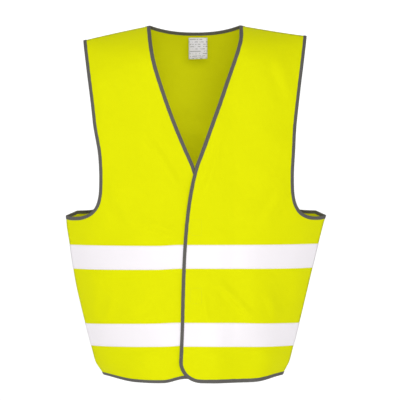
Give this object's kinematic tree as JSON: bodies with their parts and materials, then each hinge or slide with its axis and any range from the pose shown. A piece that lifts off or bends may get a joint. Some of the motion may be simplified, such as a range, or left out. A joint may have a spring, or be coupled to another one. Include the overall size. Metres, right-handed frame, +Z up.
{
  "type": "high visibility vest",
  "caption": "Sleeveless V-neck high visibility vest with bound edges, two reflective tapes round the body and a lapped hook-and-loop front.",
  "frame": {"origin": "midway between the two high shoulder points, where the neck meets the shoulder seams", "axes": "+Z up, +X towards the wearer's left, the front faces -Y"},
  "size_m": [0.5664, 0.2481, 0.7623],
  "materials": {
    "hi_vis_fabric": "fluorescent yellow warp-knit polyester, soft and matt",
    "edge_binding": "grey woven polyester binding, folded over the edge and stitched",
    "reflective_tape": "silver glass-bead reflective tape, satin",
    "hook_tape": "moulded nylon hooks on a woven ground",
    "loop_tape": "brushed nylon loops on a woven ground",
    "seam_thread": "overlocked seam allowance, yellow thread",
    "label_satin": "white printed satin label"
  },
  "bodies": {
    "vest_body": {"back_panel": "hi_vis_fabric", "left_front_side_panel": "hi_vis_fabric", "right_front_side_panel": "hi_vis_fabric", "back_neck_binding": "edge_binding", "left_neck_binding": "edge_binding", "right_neck_binding": "edge_binding", "back_hem_binding": "edge_binding", "left_hem_binding": "edge_binding", "right_hem_binding": "edge_binding", "left_armhole_binding": "edge_binding", "right_armhole_binding": "edge_binding", "back_upper_tape": "reflective_tape", "back_lower_tape": "reflective_tape", "left_side_upper_tape": "reflective_tape", "left_side_lower_tape": "reflective_tape", "right_side_upper_tape": "reflective_tape", "right_side_lower_tape": "reflective_tape", "left_shoulder_seam": "seam_thread", "right_shoulder_seam": "seam_thread", "left_side_seam": "seam_thread", "right_side_seam": "seam_thread"},
    "left_front_flap": {"left_front_flap_panel": "hi_vis_fabric", "left_flap_binding": "edge_binding", "left_flap_upper_tape": "reflective_tape", "left_flap_lower_tape": "reflective_tape", "upper_hook_patch": "hook_tape", "lower_hook_patch": "hook_tape"},
    "right_front_flap": {"right_front_flap_panel": "hi_vis_fabric", "right_flap_binding": "edge_binding", "right_flap_upper_tape": "reflective_tape", "right_flap_lower_tape": "reflective_tape", "upper_loop_patch": "loop_tape", "lower_loop_patch": "loop_tape"},
    "front_leaf": {"front_label_leaf": "label_satin"},
    "rear_leaf": {"rear_label_leaf": "label_satin"}
  },
  "joints": [
    {"name": "left_front_fold", "type": "hinge", "parent": "vest_body", "child": "left_front_flap", "pos_m": [0.098, -0.11465, -0.761], "axis": [-0.0525, -0.0038, 0.9986], "range_deg": [0, 150]},
    {"name": "right_front_fold", "type": "hinge", "parent": "vest_body", "child": "right_front_flap", "pos_m": [-0.098, -0.11465, -0.761], "axis": [-0.0525, 0.0038, -0.9986], "range_deg": [0, 67.5]},
    {"name": "front_leaf_swing", "type": "hinge", "parent": "vest_body", "child": "front_leaf", "pos_m": [0.0065, 0.04989, -0.0205], "axis": [-1, 0, 0], "range_deg": [0, 120]},
    {"name": "rear_leaf_swing", "type": "hinge", "parent": "vest_body", "child": "rear_leaf", "pos_m": [0.0065, 0.05069, -0.0205], "axis": [-1, 0, 0], "range_deg": [0, 54]}
  ],
  "couplings": [
    {"joint": "right_front_fold", "follows": "left_front_fold", "ratio": 0.45},
    {"joint": "rear_leaf_swing", "follows": "front_leaf_swing", "ratio": 0.45}
  ]
}
